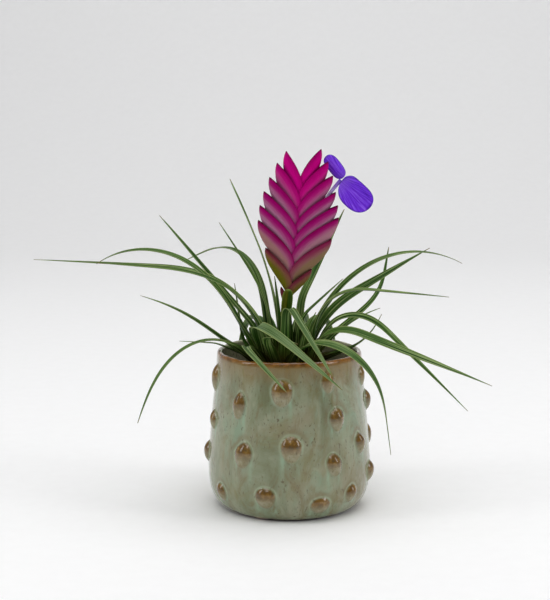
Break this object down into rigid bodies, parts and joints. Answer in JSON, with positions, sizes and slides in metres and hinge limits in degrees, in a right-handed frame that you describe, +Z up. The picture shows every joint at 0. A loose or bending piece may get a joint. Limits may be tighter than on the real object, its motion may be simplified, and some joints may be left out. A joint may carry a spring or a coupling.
{
  "type": "potted bromeliad",
  "caption": "Free-standing bromeliad with arching strap leaves, a flat two-ranked bract spike and one open flower, planted in a knobbed stoneware pot.",
  "frame": {"origin": "centre of the pot's flat foot, on the surface that it stands on", "axes": "+Z up, +X to the right of the flat flower spike as seen from the front (the widest spread of the leaves), -Y the front"},
  "size_m": [0.3035, 0.197, 0.24],
  "materials": {
    "celadon_glaze": "gloss",
    "bark_and_peat": "matte",
    "crown_stem": "matte",
    "leaf_green": "satin",
    "scape_stem": "matte",
    "scape_bract_green": "satin",
    "bract_base": "satin",
    "bract_magenta": "satin",
    "flower_tube_pale": "satin",
    "petal_violet": "satin"
  },
  "bodies": {
    "root": {"pot": "celadon_glaze", "potting_mix": "bark_and_peat", "crown": "crown_stem", "leaf_01": "leaf_green", "leaf_02": "leaf_green", "leaf_03": "leaf_green", "leaf_04": "leaf_green", "leaf_05": "leaf_green", "leaf_06": "leaf_green", "leaf_07": "leaf_green", "leaf_08": "leaf_green", "leaf_09": "leaf_green", "leaf_10": "leaf_green", "leaf_11": "leaf_green", "leaf_12": "leaf_green", "leaf_13": "leaf_green", "leaf_14": "leaf_green", "leaf_15": "leaf_green", "leaf_16": "leaf_green", "leaf_17": "leaf_green", "leaf_18": "leaf_green", "leaf_19": "leaf_green", "leaf_20": "leaf_green", "leaf_21": "leaf_green", "leaf_22": "leaf_green", "leaf_23": "leaf_green", "leaf_24": "leaf_green", "leaf_25": "leaf_green", "leaf_26": "leaf_green", "leaf_27": "leaf_green", "leaf_28": "leaf_green", "leaf_29": "leaf_green", "leaf_30": "leaf_green", "leaf_31": "leaf_green", "leaf_32": "leaf_green", "leaf_33": "leaf_green", "leaf_34": "leaf_green", "scape": "scape_stem", "scape_bract": "scape_bract_green", "bract_left_1": "bract_base", "bract_right_1": "bract_base", "bract_left_2": "bract_base", "bract_right_2": "bract_magenta", "bract_left_3": "bract_magenta", "bract_right_3": "bract_magenta", "bract_left_4": "bract_magenta", "bract_right_4": "bract_magenta", "bract_left_5": "bract_magenta", "bract_right_5": "bract_magenta", "bract_left_6": "bract_magenta", "bract_right_6": "bract_magenta", "bract_left_7": "bract_magenta", "bract_right_7": "bract_magenta", "bract_left_8": "bract_magenta", "bract_right_8": "bract_magenta", "flower_tube": "flower_tube_pale", "petal_1": "petal_violet", "petal_2": "petal_violet", "petal_3": "petal_violet"}
  },
  "joints": []
}
